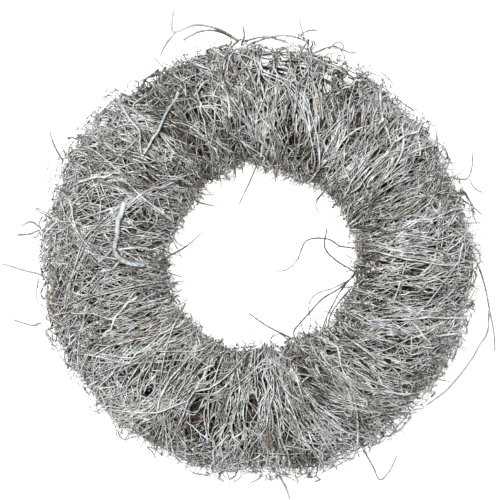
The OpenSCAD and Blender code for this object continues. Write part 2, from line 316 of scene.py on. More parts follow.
def wound_tufts(rng, azimuth, layer):
    """Twigs wound across the body in tufts, each tuft with its own lean, bow and place."""
    tufts, rows = layer.tufts, layer.tufts * layer.twigs
    mean_turn, turn_spread, least_half, greatest_half = layer.where
    tuft = np.repeat(np.arange(tufts), layer.twigs)
    start = azimuth + PITCH * ((np.arange(tufts) + rng.uniform(0, 1, tufts)) / tufts - 0.5) * OVERLAP
    mean_lean, extra = common_lean(azimuth)
    lean = rng.normal(0, TUFT_LEAN + extra, tufts)
    lean = mean_lean + lean * np.where(rng.random(tufts) < WILD_SHARE, WILD_LEAN, 1)

    along = np.linspace(-1, 1, SPAN_POINTS)[None, :]
    middle = rng.normal(mean_turn, turn_spread, tufts)[tuft] + rng.normal(0, TURN_SPREAD, rows)
    half = rng.uniform(least_half, greatest_half, tufts)[tuft] * rng.uniform(0.3, 0.95, rows)
    flow = np.where(rng.random(rows) < BUTTS_AT_HOLE, 1, -1)
    turn = (middle[:, None] - (flow * half)[:, None] * along) * DEG
    turn = turn + waves(rng, rows, 4, SPAN_POINTS, 0.03)
    place = start[tuft][:, None] + sideways(rng, tuft, lean, extra, turn) / RING_ARM

    depth = (rng.uniform(*layer.depths, tufts)[tuft] + rng.normal(0, 0.05, rows))[:, None]
    depth = depth + waves(rng, rows, 6, SPAN_POINTS, 0.04)
    reach = rng.normal(0.06, 0.1, rows).clip(0, 0.28)[:, None]
    depth = depth + reach * smooth_step((65 * DEG - turn) / (45 * DEG))
    depth = depth + 0.35 * reach * smooth_step((turn - 125 * DEG) / (40 * DEG))
    return place, turn if layer.top else -turn, depth, tuft


CROSSING_SHARE = 0.11  # of the twigs at a gap go straight over it
FORK_ANGLES = (18, 62)  # degrees between a side shoot and its twig
SHOOT_LENGTHS = (7, 32)  # millimetres


def finish_wound(rng, place, turn, depth, gaps):
    """The twigs' middle lines in space, bent round the gaps."""
    stays = rng.random((len(place), 1)) < CROSSING_SHARE
    place = part_round(place, turn, depth, gaps, stays)
    return on_body(place, turn, depth)


def side_shoots(rng, place, turn, depth, radii, rows, points=6):
    """Short forks that leave a twig part of the way along and bend back towards its direction."""
    parent = rng.integers(0, len(place), rows)
    at = rng.integers(2, place.shape[1] - 3, rows)
    base_place, base_turn = place[parent, at], turn[parent, at]
    step_turn = turn[parent, at + 1] - base_turn
    step_place = place[parent, at + 1] - base_place
    heading = np.arctan2(step_place * RING_ARM, step_turn * SECTION_ARM)
    heading = heading + rng.choice([-1, 1], rows) * rng.uniform(*FORK_ANGLES, rows) * DEG
    length = rng.uniform(*SHOOT_LENGTHS, rows) * MM
    along = np.linspace(0, 1, points)[None, :]
    bend = rng.normal(0, 0.3, rows)[:, None] * along
    away = length[:, None] * along
    shoot_turn = base_turn[:, None] + away * np.cos(heading[:, None] + bend) / SECTION_ARM
    shoot_place = base_place[:, None] + away * np.sin(heading[:, None] + bend) / RING_ARM
    lift = rng.uniform(-0.02, 0.08, rows)[:, None] * along**1.5
    shoot_depth = depth[parent, at][:, None] + lift + waves(rng, rows, 3, points, 0.012)
    butt = radii[parent, at] * rng.uniform(0.6, 0.9, rows)
    return parent, shoot_place, shoot_turn, shoot_depth, butt


def curls(rng, start, heading, length, steps, curl):
    """Free ends that leave a point and curl by a steady angle with small kinks, within bounds."""
    rows = len(start)
    axis = unit(np.cross(heading, rng.normal(size=(rows, 3))))
    out = [start]
    ahead = unit(heading)
    for _ in range(steps - 1):
        angle = (curl / (steps - 1) + rng.normal(0, 0.1, rows))[:, None]
        ahead = ahead * np.cos(angle) + np.cross(axis, ahead) * np.sin(angle)
        ahead = unit(ahead + rng.normal(0, 0.07, (rows, 3)))
        out.append(out[-1] + ahead * (length / (steps - 1))[:, None])
    return keep_inside(np.stack(out, 1))


def keep_inside(paths):
    """Holds twigs between the table and a little above the CAD model's highest point."""
    paths[..., 2] = paths[..., 2].clip(LOWEST, cad_high.z + 3 * MM)
    return paths


def smooth_route(points, count):
    """Catmull-Rom curve through the points, evenly cut into count places."""
    points = np.asarray(points, float)
    ends = np.vstack([2 * points[0] - points[1], points, 2 * points[-1] - points[-2]])
    at = np.linspace(0, len(points) - 1, count)
    i = np.minimum(at.astype(int), len(points) - 2)
    t = (at - i)[:, None]
    a, b, c, d = ends[i], ends[i + 1], ends[i + 2], ends[i + 3]
    return 0.5 * (2 * b + (c - a) * t + (2 * a - 5 * b + 4 * c - d) * t**2
                  + (3 * b - a - 3 * c + d) * t**3)


# ---------------------------------------------------------------- meshes
def sweep(paths, radii, sides):
    """Closed tubes along the paths. Returns vertices, their outward directions, quads and end caps."""
    rows, points, _ = paths.shape
    ahead = unit(np.gradient(paths, axis=1))
    side = unit(np.cross(ahead[:, 0], np.array([0.31, 0.17, 0.94])))
    sides_along = [side]
    for k in range(1, points):
        side = unit(side - (side * ahead[:, k]).sum(-1, keepdims=True) * ahead[:, k])
        sides_along.append(side)
    side = np.stack(sides_along, 1)[:, :, None, :]
    other = np.cross(ahead, side[:, :, 0])[:, :, None, :]
    angle = np.arange(sides)[None, None, :, None] * 2 * math.pi / sides
    outward = side * np.cos(angle) + other * np.sin(angle)
    vertices = paths[:, :, None, :] + radii[:, :, None, None] * outward
    index = np.arange(rows * points * sides).reshape(rows, points, sides)
    near, far = index[:, :-1], index[:, 1:]
    quads = np.stack([near, np.roll(near, -1, 2), np.roll(far, -1, 2), far], -1)
    caps = np.concatenate([index[:, 0, ::-1], index[:, -1]])
    return vertices.reshape(-1, 3), outward.reshape(-1, 3), quads.reshape(-1, 4), caps


CELL_SHAPE = 45  # a tube's cell on the bake map is about this many times as tall as it is wide
STRIP_LEFT, STRIP_WIDTH = 0.12, 0.76  # where a tube's strip lies in its cell
STRIP_LOW, STRIP_HEIGHT = 0.03, 0.94


def strip_map(rows, points, sides, first, total):
    """Where each tube's faces lie on the bake map: one upright strip for each tube."""
    bands = max(1, round(math.sqrt(total / CELL_SHAPE)))
    columns = math.ceil(total / bands)
    number = first + np.arange(rows)
    left = (number % columns)[:, None, None, None] / columns
    low = (number // columns)[:, None, None, None] / bands
    u = (np.arange(sides)[:, None] + np.array([0, 1, 1, 0])) / sides
    v = (np.arange(points - 1)[:, None] + np.array([0, 0, 1, 1])) / (points - 1)
    u = left + (STRIP_LEFT + STRIP_WIDTH * u[None, None]) / columns
    v = low + (STRIP_LOW + STRIP_HEIGHT * v[None, :, None]) / bands
    quads = np.stack(np.broadcast_arrays(u, v), -1).reshape(-1, 2)
    ends = []
    for end in (STRIP_LOW, STRIP_LOW + STRIP_HEIGHT):
        across = (STRIP_LEFT + STRIP_WIDTH * np.arange(sides)[None, :] / sides) / columns
        x = left[:, :, 0, 0] + across
        y = np.broadcast_to(low[:, :, 0, 0] + end / bands, x.shape)
        ends.append(np.stack([x, y], -1).reshape(-1, 2))
    return quads, np.concatenate(ends)


BRIGHT_SHARE = 0.08  # of the twigs keep their wash deep inside the body


class TwigMesh:
    """Gathers many twigs into one mesh.

    Thinly washed twigs are white on their outer and upper side only, narrowed to a painted highlight along
    each twig's top with painted shade on its flanks, and their free ends are greyer.
    """

    def __init__(self, thickly_washed=False):
        self.groups = []
        # A steep falloff keeps the wash to a painted highlight along each twig's top, with painted shade on
        # its flanks.
        self.falloff, self.fade = (0.5, 0) if thickly_washed else (1.8, 0.25)

    def add(self, paths, radii, sides, wash, light, warm):
        """Wash, light and warm are one number for each twig; the wash is more than 1 where it is thick."""
        if len(paths):
            paths[..., 2] = np.maximum(paths[..., 2], radii + CLEAR)
            self.groups.append((paths, radii, sides, wash, light, warm))

    def look(self, paths, outward, vertices, wash, light, warm):
        """Each vertex's share of wash, lightness, warmth and tint, from where it lies and faces; the
        lightness holds painted shade deep in the body.
        """
        rows, points, _ = paths.shape
        each = np.repeat(np.arange(rows), len(vertices) // rows)
        away = unit(vertices - section_middle(vertices))
        away = unit(away + np.array([0, 0, 0.6]) * np.sign(away[:, 2:] + 0.3))
        facing = np.maximum((outward * away).sum(-1), 0.85 * outward[:, 2])
        outward_share = (np.hypot(vertices[:, 0], vertices[:, 1]) - HOLE_R) / (RIM_R - HOLE_R)
        depth = depth_in_body(vertices)
        chance = np.random.default_rng(rows + points)
        bright = chance.random(rows) < BRIGHT_SHARE
        tint = chance.random(rows) ** 1.5
        exposed = np.where(bright[each], 1, smooth_step((depth - 0.83) / 0.2))
        free = smooth_step((depth - 1.05) / 0.15)
        # Wash on the side that faces out and up: partly real spray, partly a painted highlight line with
        # painted shade on the flanks.
        painted = wash[each] * (0.02 + 0.98 * facing.clip(0, 1)**self.falloff)
        rimward = 0.88 + 0.28 * outward_share + 0.46 * outward_share**2
        painted = painted * rimward * exposed * (1 - self.fade * free)
        # The bark of twigs deep in the body is darkened: painted shade. The wash falls off there too, where
        # the paint did not reach.
        return np.stack([painted, light[each] * (0.15 + 0.85 * exposed), warm[each], tint[each]], -1)

    def build(self, name, material):
        """One mesh of all the twigs added so far."""
        total = sum(len(g[0]) for g in self.groups)
        parts = {"co": [], "look": [], "loops": [], "sizes": [], "smooth": [], "uv": []}
        first_vertex = first_tube = 0
        for paths, radii, sides, wash, light, warm in self.groups:
            rows, points, _ = paths.shape
            vertices, outward, quads, caps = sweep(paths, radii, sides)
            parts["look"].append(self.look(paths, outward, vertices, wash, light, warm))
            parts["co"].append(vertices)
            parts["loops"] += [quads.ravel() + first_vertex, caps.ravel() + first_vertex]
            parts["sizes"] += [np.full(len(quads), 4), np.full(len(caps), sides)]
            parts["smooth"] += [np.ones(len(quads), bool), np.zeros(len(caps), bool)]
            parts["uv"] += list(strip_map(rows, points, sides, first_tube, total))
            first_vertex += len(vertices)
            first_tube += rows
        return self.as_object(name, material, {k: np.concatenate(v) for k, v in parts.items()})

    @staticmethod
    def as_object(name, material, parts):
        """The Blender object made of a mesh's vertices, faces, looks and bake map."""
        mesh = bpy.data.meshes.new(name)
        mesh.vertices.add(len(parts["co"]))
        mesh.vertices.foreach_set("co", parts["co"].astype(np.float32).ravel())
        mesh.loops.add(len(parts["loops"]))
        mesh.loops.foreach_set("vertex_index", parts["loops"].astype(np.int32))
        starts = np.concatenate([[0], np.cumsum(parts["sizes"])[:-1]])
        mesh.polygons.add(len(starts))
        mesh.polygons.foreach_set("loop_start", starts.astype(np.int32))
        mesh.update(calc_edges=True)
        mesh.polygons.foreach_set("use_smooth", parts["smooth"])
        look = mesh.attributes.new(LOOK, "FLOAT_COLOR", "POINT")
        look.data.foreach_set("color", parts["look"].clip(0, 1).astype(np.float32).ravel())
        uv = mesh.uv_layers.new(name=BAKE_MAP)
        uv.data.foreach_set("uv", parts["uv"].astype(np.float32).ravel())
        mesh.materials.append(material)
        obj = bpy.data.objects.new(name, mesh)
        bpy.context.collection.objects.link(obj)
        return obj


# ---------------------------------------------------------------- materials
class Nodes:
    """Short ways to make shader nodes in one material."""

    def __init__(self, name):
        self.material = bpy.data.materials.new(name)
        self.material.use_nodes = True
        self.tree = self.material.node_tree
        self.shader = self.tree.nodes["Principled BSDF"]

    def feed(self, socket, value):
        """Links an output to the socket, or sets a colour or a number on it."""
        if isinstance(value, bpy.types.NodeSocket):
            self.tree.links.new(value, socket)
        elif isinstance(value, tuple):
            socket.default_value = (*value, 1)
        else:
            socket.default_value = value

    def new(self, kind, inputs, **settings):
        """A node with its settings and inputs."""
        node = self.tree.nodes.new(kind)
        for key, value in settings.items():
            setattr(node, key, value)
        for key, value in inputs.items():
            self.feed(node.inputs[key], value)
        return node

    def object_place(self):
        """Position in the piece's own frame, for the patterns to follow."""
        return self.new("ShaderNodeTexCoord", {}).outputs["Object"]

    def noise(self, place, scale, detail=2.0, rough=0.5):
        """An uneven pattern, finer with a greater scale."""
        inputs = {"Vector": place, "Scale": scale, "Detail": detail, "Roughness": rough}
        return self.new("ShaderNodeTexNoise", inputs).outputs["Fac"]

    def maths(self, operation, a, b):
        """Two values added, subtracted or multiplied."""
        return self.new("ShaderNodeMath", {0: a, 1: b}, operation=operation).outputs[0]

    def ramp(self, value, low, high):
        """0 below low, 1 above high and smooth between them."""
        inputs = {"Value": value, "From Min": low, "From Max": high}
        return self.new("ShaderNodeMapRange", inputs, interpolation_type="SMOOTHSTEP").outputs[0]

    def mix(self, share, a, b):
        """Colour a where the share is 0 and colour b where it is 1."""
        return self.new("ShaderNodeMix", {0: share, 6: a, 7: b}, data_type="RGBA").outputs[2]

    def finish(self, colour, height, bump, distance, roughness):
        """The material, with these patterns on its shader."""
        bumped = self.new("ShaderNodeBump", {"Height": height, "Strength": bump, "Distance": distance})
        self.feed(self.shader.inputs["Normal"], bumped.outputs[0])
        self.feed(self.shader.inputs["Base Color"], colour)
        self.feed(self.shader.inputs["Roughness"], roughness)
        return self.material


def twig_material(name, cool_wash, creamy_wash):
    """Dry bark under a thin, patchy white wash that lies on the outer side of each twig, where it also
    stands for a painted highlight; the bark carries painted shade deep in the body.
    """
    n = Nodes(name)
    place = n.object_place()
    look = n.new("ShaderNodeAttribute", {}, attribute_name=LOOK).outputs
    painted, light, warm = n.new("ShaderNodeSeparateColor", {0: look["Color"]}).outputs
    regions = n.noise(place, 26, 1)
    patches = n.noise(place, 150, 2)
    flecks = n.noise(place, 900, 2, 0.6)
    grain = n.noise(place, 2600, 2, 0.6)

    dark_bark = n.mix(warm, (0.018, 0.018, 0.012), (0.06, 0.034, 0.018))
    light_bark = n.mix(warm, (0.115, 0.115, 0.088), (0.3, 0.19, 0.12))
    # The bark's lightness carries painted shade: darker for twigs deep in the body and in the deeper layers.
    bark = n.mix(n.maths("ADD", n.maths("MULTIPLY", light, 0.75), n.maths("MULTIPLY", flecks, 0.3)),
                 dark_bark, light_bark)
    cover = painted
    for pattern, share in ((regions, 1.1), (patches, 0.45), (flecks, 1.9), (grain, 0.9)):
        cover = n.maths("ADD", cover, n.maths("MULTIPLY", n.maths("SUBTRACT", pattern, 0.5), share))
    cover = n.ramp(cover, 0.2, 0.86)
    creamy = n.mix(look["Alpha"], cool_wash, creamy_wash)
    wash = n.mix(n.ramp(patches, 0.35, 0.7), (0.5, 0.51, 0.5), creamy)
    colour = n.mix(cover, bark, wash)
    height = n.maths("ADD", grain, n.maths("MULTIPLY", flecks, 1.5))
    rough = n.maths("ADD", n.maths("MULTIPLY", flecks, 0.2), 0.72)
    return n.finish(colour, height, 0.5, 0.25 * MM, rough)


def wire_material(name, base, dull, rust):
    """Thin steel wire: a base colour, duller patches and a few specks of rust."""
    n = Nodes(name)
    place = n.object_place()
    patches = n.noise(place, 90, 3)
    specks = n.noise(place, 700, 3, 0.65)
    colour = n.mix(n.ramp(patches, 0.4, 0.65), base, dull)
    colour = n.mix(n.ramp(specks, 0.6, 0.72), colour, rust)
    n.shader.inputs["Metallic"].default_value = 0.6
    rough = n.maths("ADD", n.maths("MULTIPLY", specks, 0.35), 0.35)
    return n.finish(colour, specks, 0.3, 0.1 * MM, rough)


def floor_material():
    """Plain near-white studio floor."""
    n = Nodes("studio_floor")
    place = n.object_place()
    colour = n.mix(n.noise(place, 3), (0.9, 0.9, 0.9), (0.93, 0.93, 0.93))
    n.shader.inputs["Emission Color"].default_value = (1, 1, 1, 1)
    n.shader.inputs["Emission Strength"].default_value = 0.8
    return n.finish(colour, n.noise(place, 40), 0.02, 1 * MM, 0.9)


wound_look = twig_material("whitewashed_twig", (0.74, 0.82, 0.89), (0.82, 0.77, 0.68))
pale_look = twig_material("thickly_whitewashed_twig", (0.48, 0.58, 0.64), (0.64, 0.73, 0.77))
stray_look = twig_material("bare_stray_twig", (0.36, 0.37, 0.36), (0.4, 0.38, 0.33))


# ---------------------------------------------------------------- twig bundles
# Spots where the wash has clotted: azimuth in degrees, distance from the axis and spread in millimetres
CLOTTED = [
    (2, 159, 13), (70, 146, 12), (80, 154, 15), (128, 160, 12), (172, 130, 12), (215, 120, 12),
    (242, 128, 14), (255, 178, 14), (290, 170, 16), (330, 135, 12)]


def middles(paths):
    """The point half-way along each twig."""
    return paths[:, paths.shape[1] // 2]


def clots(paths):
    """How much each twig's middle lies in a clotted spot, from 0 to 1."""
    middle = middles(paths)
    total = np.zeros(len(paths))
    for degrees, distance, spread in CLOTTED:
        spot = distance * MM * np.array([math.cos(degrees * DEG), math.sin(degrees * DEG)])
        away = np.linalg.norm(middle[:, :2] - spot, axis=1) / (spread * MM)
        total += np.exp(-away**2)
    return total.clip(0, 1)


def painted_shade_at_back(paths):
    """Painted shade at the back of the wreath, most of all left of its middle: how much less wash each twig
    has there.
    """
    middle = middles(paths)
    azimuth = np.degrees(np.arctan2(middle[:, 1], middle[:, 0]))
    return np.exp(-(((azimuth - 108) / 26) ** 2)) + 0.25 * np.exp(-(((azimuth - 60) / 20) ** 2))


def tuft_looks(rng, tuft, paths, wash_mean, warm_share):
    """Wash, lightness and warmth of each twig, alike within a tuft."""
    tufts = tuft.max() + 1
    wash = wash_mean + rng.normal(0, 0.13, tufts)[tuft] + rng.normal(0, 0.26, len(tuft))
    # The back of the wreath gets less wash: painted shade.
    wash = wash + 0.8 * clots(paths) - 0.34 * painted_shade_at_back(paths)
    # Layers with less wash lie deeper or underneath, and their bark is made darker: painted shade.
    light = 0.1 + 0.6 * wash_mean + rng.normal(0, 0.12, tufts)[tuft] + rng.normal(0, 0.2, len(tuft))
    warm = np.where(rng.random(len(tuft)) < warm_share, rng.uniform(0.5, 1, len(tuft)), 0.12)
    return wash.clip(0, 1.3), light.clip(0, 1), warm


@dataclass
class Layer:
    """One layer of wound twigs in a bundle."""

    tufts: int
    twigs: int  # in each tuft
    where: tuple  # OVER, AT_RIM or AT_HOLE
    depths: tuple  # least and greatest, 1 on the body's surface
    wash: float  # mean share of white wash, more than 1 where it is thick
    warm: float  # share of twigs with reddish bark
    radius: float  # of the middling twig, in millimetres
    shoots: int  # side shoots that fork from the twigs
    gaps: list  # the gaps that the twigs are parted round
    top: bool = True  # on the top side, or else on the underside
    sides: int = 5  # of a twig's tube


@dataclass
class Frizz:
    """One set of short free ends in a bundle."""

    count: int
    turns: tuple  # where they start round the section: least and greatest, in degrees
    length: float  # mean, in millimetres
    wash: float  # mean share of white wash
    outward: float  # how straight they stand out from the body
    gaps: list  # the gaps that they keep clear of
    curl: float = 1.2  # radians
    radii: tuple = (0.32, 0.62)  # at the butt, in millimetres


FRIZZ_POINTS = 7
ALL_GAPS = SEE_THROUGH_GAPS + DARK_GAPS + SMALL_GAPS
LAYERS = [
    Layer(4, 10, OVER, (0.6, 0.74), 0.6, 0.12, 0.72, 0, SEE_THROUGH_GAPS, sides=4),
    Layer(5, 9, OVER, (0.76, 0.86), 0.4, 0.15, 0.64, 15, ALL_GAPS),
    Layer(6, 8, OVER, (0.93, 1.03), 1.05, 0.08, 0.64, 40, ALL_GAPS),
    Layer(5, 7, AT_RIM, (0.85, 1.0), 1.2, 0.1, 0.56, 30, SEE_THROUGH_GAPS),
    Layer(4, 5, AT_HOLE, (0.88, 1.0), 1.3, 0.15, 0.56, 15, SEE_THROUGH_GAPS),
    Layer(6, 9, OVER, (0.78, 0.98), 0.5, 0.2, 0.68, 35, SEE_THROUGH_GAPS, top=False, sides=4),
    Layer(4, 7, AT_RIM, (0.85, 1.0), 0.7, 0.1, 0.6, 20, SEE_THROUGH_GAPS, top=False),
]
FRIZZ = [
    Frizz(72, (-60, 65), 12, 1.0, 0.8, SEE_THROUGH_GAPS, 0.8),
    Frizz(40, (120, 235), 11, 1.0, 0.45, SEE_THROUGH_GAPS),
    Frizz(28, (40, 140), 12, 0.9, 0.25, ALL_GAPS, 0.5),
    Frizz(16, (-40, 60), 23, 0.9, 1.0, SEE_THROUGH_GAPS),
    Frizz(12, (130, 220), 18, 0.7, 1.0, SEE_THROUGH_GAPS, 0.6),
    Frizz(25, (-140, -40), 9, 0.5, 0.3, SEE_THROUGH_GAPS),
    Frizz(20, (-40, 55), 24, 0.5, 0.9, SEE_THROUGH_GAPS, 1.7, (0.24, 0.4)),
    Frizz(6, (135, 220), 17, 0.6, 0.7, SEE_THROUGH_GAPS, 1.7, (0.24, 0.4)),
]


def add_wound(bundle, rng, azimuth, layer):
    """A layer's twigs and the side shoots that fork from them."""
    place, turn, depth, tuft = wound_tufts(rng, azimuth, layer)
    paths = finish_wound(rng, place, turn, depth, layer.gaps)
    thick = rng.lognormal(math.log(layer.radius), 0.42, len(paths)).clip(0.28, 1.5) * MM
    radii = thickness(rng, len(paths), paths.shape[1], thick)
    looks = tuft_looks(rng, tuft, paths, layer.wash, layer.warm)
    bundle.add(paths, radii, layer.sides, *looks)
    if layer.shoots:
        parent, place, turn, depth, butt = side_shoots(rng, place, turn, depth, radii, layer.shoots)
        paths = finish_wound(rng, place, turn, depth, layer.gaps)
        radii = thickness(rng, layer.shoots, paths.shape[1], butt)
        bundle.add(paths, radii, 4, *(look[parent] for look in looks))


def add_frizz(bundle, rng, azimuth, frizz):
    """Short free ends that curl away from the body."""
    rows = frizz.count
    place = azimuth + PITCH * rng.uniform(-0.55, 0.55, rows)
    turn = rng.uniform(*frizz.turns, rows) * DEG
    start = on_body(place, turn, rng.uniform(0.86, 0.98, rows))
    away = unit(start - section_middle(start))
    along = np.stack([-np.sin(place), np.cos(place), np.zeros(rows)], -1)
    up = np.cross(away, along)
    heading = away * rng.uniform(0.2, 1, rows)[:, None] * frizz.outward
    heading = heading + (along + up) * rng.normal(0, 0.8, rows)[:, None]
    heading = unit(heading + (along - up) * rng.normal(0, 0.4, rows)[:, None])
    size = (rng.gamma(2.2, frizz.length / 2.2, rows) * MM).clip(3 * MM, 32 * MM)
    paths = curls(rng, start, heading, size, FRIZZ_POINTS, rng.normal(0, frizz.curl, rows))
    radii = thickness(rng, rows, FRIZZ_POINTS, rng.uniform(*frizz.radii, rows) * MM)
    wash = (frizz.wash + rng.normal(0, 0.2, rows)).clip(0, 1)
    light = rng.uniform(0.4, 1, rows)
    warm = np.where(rng.random(rows) < 0.15, 0.8, 0.1)
    clear = ~in_gaps(paths, frizz.gaps)
    bundle.add(paths[clear], radii[clear], 4, wash[clear], light[clear], warm[clear])


def hand_over(obj, slot, *nodes):
    """Fixes a finished piece to the root body and hides the CAD nodes it stands in for."""
    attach(obj, "root")
    if nodes:
        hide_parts(*nodes)


def twig_bundle(node, number):
    """The piece that stands in for one of the CAD model's bundles."""
    rng = np.random.default_rng(7000 + number)
    azimuth = node_azimuth(node)
    bundle = TwigMesh()
    for layer in LAYERS:
        add_wound(bundle, rng, azimuth, layer)
    for frizz in FRIZZ:
        add_frizz(bundle, rng, azimuth, frizz)
    hand_over(bundle.build(f"wound_twigs_{number:02d}", wound_look), "wound_twigs", node)


for number, node in enumerate(bundle_nodes, 1):
    twig_bundle(node, number)


# ---------------------------------------------------------------- twigs laid along the ring
ON_TOP = 1.35 * MID_Z  # twigs along the ring that rise above this height lie on its top side


def ring_twigs(rng, rows, turn_range, depths, sweep_degrees, points=22):
    """Twigs that follow the ring for part of the way round."""
    along = np.linspace(0, 1, points)[None, :]
    begin = rng.uniform(0, 2 * math.pi, rows)[:, None]
    length = rng.uniform(*sweep_degrees, rows)[:, None] * DEG
    place = begin + rng.choice([-1, 1], rows)[:, None] * length * along
    turn = (rng.uniform(*turn_range, rows)[:, None] + rng.normal(0, 14, rows)[:, None] * along) * DEG
    turn = turn + waves(rng, rows, 6, points, 0.06)
    depth = rng.uniform(*depths, rows)[:, None] + waves(rng, rows, 6, points, 0.015)
    return on_body(place, turn, depth)


def laid_twigs(rng, rows, turn_range, depths, sweep_degrees, thickest, looks):
    """A mesh of twigs laid along the ring that leave the see-through gaps clear on top."""
    paths = keep_inside(ring_twigs(rng, rows, turn_range, depths, sweep_degrees))
    on_top = paths[..., 2].max(-1) > ON_TOP
    paths = paths[~(on_top & in_gaps(paths, SEE_THROUGH_GAPS))]
    rows = len(paths)
    radii = thickness(rng, rows, paths.shape[1], rng.uniform(0.35, thickest, rows) * MM)
    spreads = (0.15, 0.2, 0.25)
    looks = [(mean + rng.normal(0, spread, rows)).clip(0, 1) for mean, spread in zip(looks, spreads)]
    mesh = TwigMesh()
    mesh.add(paths, radii, 6, *looks)
    return mesh


along_rim = laid_twigs(np.random.default_rng(31), 110, (-35, 40), (0.95, 1.03), (8, 34), 0.8,
                       (0.3, 0.35, 0.2))
hand_over(along_rim.build("twigs_along_rim", wound_look), "stray_twigs", "rim_twigs")
round_hole = laid_twigs(np.random.default_rng(32), 120, (150, 225), (0.93, 1.02), (12, 50), 0.75,
                        (1.0, 0.85, 0.3))
hand_over(round_hole.build("twigs_round_hole", wound_look), "wound_twigs")


CROSS_COUNT, CROSS_POINTS = 330, 14
CROSS_HALF_LENGTHS = (6.5, 26)  # millimetres
BACK_LEFT, BACK_LEFT_SPREAD = 145 * DEG, 30 * DEG
BACK_LEFT_SHARE = 0.35  # of the loose twigs lie at the back left, the others all round


def cross_twigs():
    """Loose twigs that lie over the wound ones at all angles, closest together at the back left."""
    rng = np.random.default_rng(41)
    rows, points = CROSS_COUNT, CROSS_POINTS
    along = rng.uniform(*CROSS_HALF_LENGTHS, rows)[:, None] * MM * np.linspace(-1, 1, points)[None, :]
    heading = rng.uniform(0, math.pi, rows)[:, None]
    heading = heading + rng.normal(0, 0.3, rows)[:, None] * np.linspace(-1, 1, points)[None, :]
    middle = np.where(rng.random(rows) < BACK_LEFT_SHARE, rng.normal(BACK_LEFT, BACK_LEFT_SPREAD, rows),
                      rng.uniform(0, 2 * math.pi, rows))
    place = middle[:, None] + along * np.sin(heading) / RING_ARM
    place = place + waves(rng, rows, 5, points, 0.004) + kinks(rng, rows, 5, points, 0.08)
    turn = rng.normal(88, 32, rows)[:, None] * DEG + along * np.cos(heading) / SECTION_ARM
    turn = turn + kinks(rng, rows, 5, points, 0.12)
    depth = rng.uniform(0.98, 1.05, rows)[:, None] + waves(rng, rows, 5, points, 0.02)
    paths = keep_inside(on_body(place, turn, depth))
    paths = paths[~in_gaps(paths, SEE_THROUGH_GAPS)]
    rows = len(paths)
    radii = thickness(rng, rows, points, rng.lognormal(math.log(0.62), 0.28, rows).clip(0.35, 1.3) * MM)
    mesh = TwigMesh()
    mesh.add(paths, radii, 5, rng.normal(0.8, 0.25, rows).clip(0, 1.2), rng.uniform(0.3, 0.9, rows),
             np.full(rows, 0.1))
    hand_over(mesh.build("loose_cross_twigs", wound_look), "pale_twigs", "cross_twigs")


cross_twigs()


# ---------------------------------------------------------------- single branches and strays
def limb(mesh, rng, route, looks, sides=6, wobble=0.8, every=3.0):
    """One twig through its route's points, thinning from butt to tip, with buds and kinks."""
    points, butt, tip = route
    run = np.linalg.norm(np.diff(np.asarray(points, float), axis=0), axis=1).sum()
    count = max(8, int(run / every))
    path = smooth_route(points, count)[None] * MM
    for axis in range(3):
        path[..., axis] += waves(rng, 1, max(3, count // 5), count, wobble * MM)
    radii = np.linspace(butt / 2, tip / 2, count)[None] * MM
    radii = radii * (1 + 0.12 * rng.normal(size=(1, count)).clip(-1.5, 2))
    radii[:, -1] *= 0.5
    mesh.add(path, radii, sides, *(np.full(1, look) for look in looks))
    return path[0]


def twiglets(mesh, rng, path, count):
    """Small side twigs along a limb."""
    at = rng.integers(1, len(path) - 2, count)
    ahead = unit(path[at + 1] - path[at])
    heading = unit(ahead + rng.normal(0, 0.7, (count, 3)) * np.array([1, 1, 0.4]))
    size = rng.uniform(6, 18, count) * MM
    paths = curls(rng, path[at], heading, size, FRIZZ_POINTS, rng.normal(0, 0.8, count))
    radii = thickness(rng, count, FRIZZ_POINTS, np.full(count, 0.4 * MM))
    mesh.add(paths, radii, 4, *(np.full(count, look) for look in (0.7, 0.5, 0.3)))


